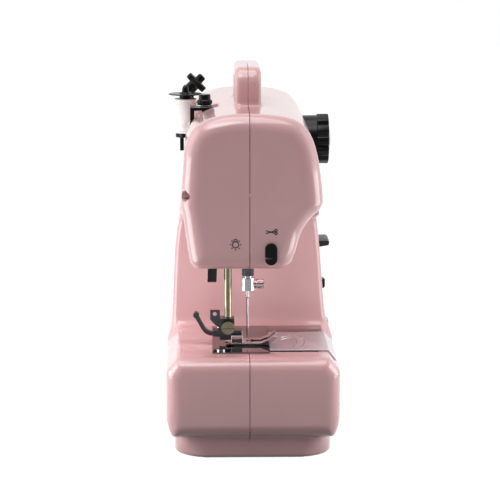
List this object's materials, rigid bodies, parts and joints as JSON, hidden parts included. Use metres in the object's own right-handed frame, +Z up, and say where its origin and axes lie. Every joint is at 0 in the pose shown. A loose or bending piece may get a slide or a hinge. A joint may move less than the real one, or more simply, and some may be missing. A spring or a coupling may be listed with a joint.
{
  "type": "sewing machine",
  "caption": "Small electric household sewing machine with moulded clamshell housing, carry handle, presser foot, needle drive, rotary hook, pattern dial, spool and bobbin winder.",
  "frame": {"origin": "centre of the bounding box at the table, under the rubber feet", "axes": "+Z up, -Y towards the operator, +X towards the handwheel, needle head at -X"},
  "size_m": [0.264, 0.1241, 0.271],
  "materials": {
    "pink_plastic": "glossy",
    "steel_screws": "satin",
    "foot_rubber": "matt",
    "cast_metal": "cast",
    "bronze": "satin",
    "machine_steel": "satin",
    "white_plastic": "satin",
    "motor_steel": "satin",
    "black_plastic": "satin",
    "clear_plastic": "clear",
    "plate_steel": "polished",
    "shank_metal": "satin",
    "dark_plastic": "satin",
    "grey_plastic": "glossy",
    "board": "matt",
    "thread": "wound"
  },
  "bodies": {
    "machine": {"front_housing": "pink_plastic", "rear_housing": "pink_plastic", "screws": "steel_screws", "rubber_feet": "foot_rubber", "main_frame": "cast_metal", "base_frame": "cast_metal", "bushes": "bronze", "pivot_pins": "machine_steel", "timing_belt": "foot_rubber", "motor": "motor_steel", "drive_belt": "foot_rubber", "bobbin_case": "black_plastic", "needle_plate": "plate_steel", "presser_spring": "machine_steel", "needle_guide_sleeve": "black_plastic", "circuit_boards": "board", "sockets": "black_plastic", "lamp_lens": "clear_plastic", "thread_cutter": "black_plastic", "cutter_blade": "machine_steel", "tension_bracket": "black_plastic", "tension_discs": "machine_steel", "spool_pin": "black_plastic", "spool_cap": "black_plastic", "winder_bracket": "black_plastic"},
    "drive": {"main_shaft": "machine_steel", "needle_crank": "machine_steel", "upper_pulley": "white_plastic", "drive_wheel": "white_plastic", "handwheel": "pink_plastic"},
    "lower_drive": {"lower_shaft": "machine_steel", "lower_gear": "white_plastic", "lower_pulley": "white_plastic"},
    "motor_rotor": {"motor_pulley": "white_plastic"},
    "hook_unit": {"hook": "machine_steel", "crown_gear": "white_plastic"},
    "bobbin": {"bobbin": "clear_plastic"},
    "feed": {"feed_dog": "machine_steel"},
    "bed_slide": {"slide_plate": "plate_steel"},
    "needle_group": {"needle_bar": "machine_steel", "needle_clamp": "machine_steel", "needle_clamp_screw": "steel_screws", "needle": "machine_steel"},
    "take_up": {"take_up_lever": "machine_steel"},
    "presser": {"presser_bar": "machine_steel", "foot_shank": "shank_metal", "foot_screw": "steel_screws"},
    "lifter": {"presser_lifter": "black_plastic"},
    "release": {"foot_release_lever": "black_plastic"},
    "foot": {"presser_foot": "plate_steel"},
    "dial": {"pattern_dial": "dark_plastic", "dial_cap": "grey_plastic", "pattern_cam": "white_plastic"},
    "reverse": {"reverse_lever": "dark_plastic"},
    "rocker": {"power_rocker": "black_plastic"},
    "slider": {"speed_slider": "black_plastic"},
    "knob": {"tension_knob": "black_plastic"},
    "spool": {"spool": "white_plastic", "spool_thread": "thread"},
    "winder": {"winder_spindle": "black_plastic"}
  },
  "joints": [
    {"name": "main_shaft_spin", "type": "hinge", "parent": "machine", "child": "drive", "pos_m": [0, 0.003, 0.188], "axis": [1, 0, 0], "continuous": true},
    {"name": "lower_shaft_spin", "type": "hinge", "parent": "machine", "child": "lower_drive", "pos_m": [0, -0.021, 0.034], "axis": [1, 0, 0], "continuous": true},
    {"name": "motor_spin", "type": "hinge", "parent": "machine", "child": "motor_rotor", "pos_m": [0, 0.0053, 0.0271], "axis": [1, 0, 0], "continuous": true},
    {"name": "hook_spin", "type": "hinge", "parent": "machine", "child": "hook_unit", "pos_m": [-0.079, -0.021, 0.05], "axis": [0, 0, 1], "continuous": true},
    {"name": "bobbin_spin", "type": "hinge", "parent": "machine", "child": "bobbin", "pos_m": [-0.079, -0.021, 0.058], "axis": [0, 0, 1], "continuous": true},
    {"name": "needle_slide", "type": "slide", "parent": "machine", "child": "needle_group", "axis": [0, 0, 1], "range_m": [-0.026, 0]},
    {"name": "take_up_pivot", "type": "hinge", "parent": "machine", "child": "take_up", "pos_m": [-0.067, -0.0213, 0.202], "axis": [1, 0, 0], "range_deg": [-8, 45]},
    {"name": "presser_slide", "type": "slide", "parent": "machine", "child": "presser", "axis": [0, 0, 1], "range_m": [0, 0.006], "stiffness_N_per_m": 300, "springref_m": -0.01, "deforming": ["presser_spring"]},
    {"name": "lifter_pivot", "type": "hinge", "parent": "machine", "child": "lifter", "pos_m": [-0.079, 0.0278, 0.1415], "axis": [1, 0, 0], "range_deg": [0, 40]},
    {"name": "foot_release_pivot", "type": "hinge", "parent": "presser", "child": "release", "pos_m": [-0.079, 0.0258, 0.082], "axis": [1, 0, 0], "range_deg": [0, 6], "stiffness_Nm_per_rad": 0.05},
    {"name": "foot_pivot", "type": "hinge", "parent": "presser", "child": "foot", "pos_m": [-0.079, 0.011, 0.079], "axis": [1, 0, 0], "range_deg": [-6, 0]},
    {"name": "feed_slide", "type": "slide", "parent": "machine", "child": "feed", "axis": [0, 1, 0], "range_m": [-0.00125, 0.00125]},
    {"name": "slide_plate_slide", "type": "slide", "parent": "machine", "child": "bed_slide", "axis": [0, -1, 0], "range_m": [0, 0.038]},
    {"name": "pattern_dial_turn", "type": "hinge", "parent": "machine", "child": "dial", "pos_m": [0.036, -0.05, 0.209], "axis": [0, 1, 0], "continuous": true},
    {"name": "reverse_lever_pivot", "type": "hinge", "parent": "machine", "child": "reverse", "pos_m": [0.019, -0.043, 0.1316], "axis": [1, 0, 0], "range_deg": [0, 10], "stiffness_Nm_per_rad": 0.2},
    {"name": "power_rocker_pivot", "type": "hinge", "parent": "machine", "child": "rocker", "pos_m": [0.035, -0.0575, 0.064], "axis": [1, 0, 0], "range_deg": [0, 14]},
    {"name": "speed_slider_slide", "type": "slide", "parent": "machine", "child": "slider", "axis": [1, 0, 0], "range_m": [-0.009, 0.009]},
    {"name": "tension_knob_turn", "type": "hinge", "parent": "machine", "child": "knob", "pos_m": [-0.036, 0.0336, 0.244], "axis": [0, 0, 1], "range_deg": [-150, 150]},
    {"name": "spool_spin", "type": "hinge", "parent": "machine", "child": "spool", "pos_m": [0.02, 0.0482, 0.228], "axis": [0, 0, 1], "continuous": true},
    {"name": "winder_spin", "type": "hinge", "parent": "machine", "child": "winder", "pos_m": [0.062, 0.0404, 0.2496], "axis": [0, -0.7071, 0.7071], "continuous": true}
  ],
  "couplings": [
    {"joint": "lower_shaft_spin", "follows": "main_shaft_spin", "ratio": 1},
    {"joint": "motor_spin", "follows": "main_shaft_spin", "ratio": 4},
    {"joint": "hook_spin", "follows": "main_shaft_spin", "ratio": -1},
    {"joint": "lifter_pivot", "follows": "presser_slide", "rad_per_m": 116.35}
  ]
}
